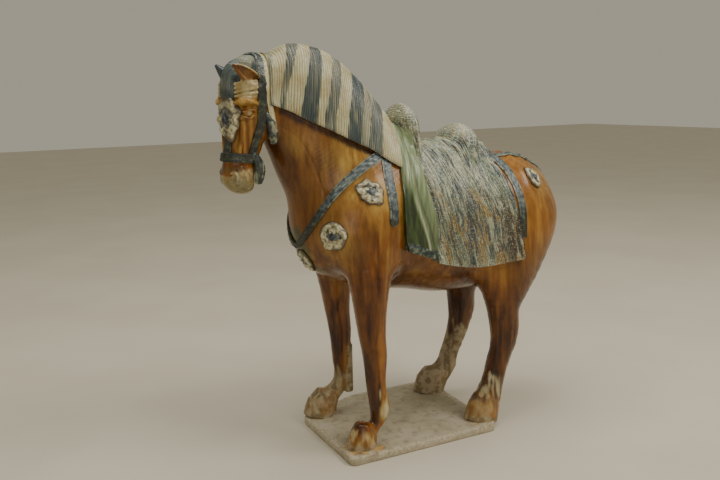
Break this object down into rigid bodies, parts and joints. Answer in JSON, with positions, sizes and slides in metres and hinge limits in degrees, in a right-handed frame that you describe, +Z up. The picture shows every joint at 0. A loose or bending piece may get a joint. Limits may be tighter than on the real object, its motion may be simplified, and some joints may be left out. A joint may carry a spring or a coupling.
{
  "type": "glazed earthenware horse figure",
  "caption": "Standing ceramic horse with a striped combed mane, bridle, saddle under a shaggy cloth and harness pendants, fired in one piece with a thin slab.",
  "frame": {"origin": "middle of the slab's underside, on the surface that the figure stands on", "axes": "+X the way the horse faces, +Y the horse's left side, +Z up"},
  "size_m": [0.6506, 0.2624, 0.6773],
  "materials": {
    "amber_glaze": "glossy lead glaze, amber brown with darker runs and pale halos",
    "blue_glaze": "satin blue-grey glaze, mottled",
    "cream_glaze": "satin cream glaze, finely crazed",
    "green_glaze": "glossy green glaze, pale on the ridges and dark where it pools",
    "speckled_glaze": "combed clay speckled with blue, cream, green and amber glaze",
    "bare_clay": "unglazed fired clay, worn and stained"
  },
  "bodies": {
    "root": {"horse_figure": "amber_glaze"}
  },
  "joints": []
}
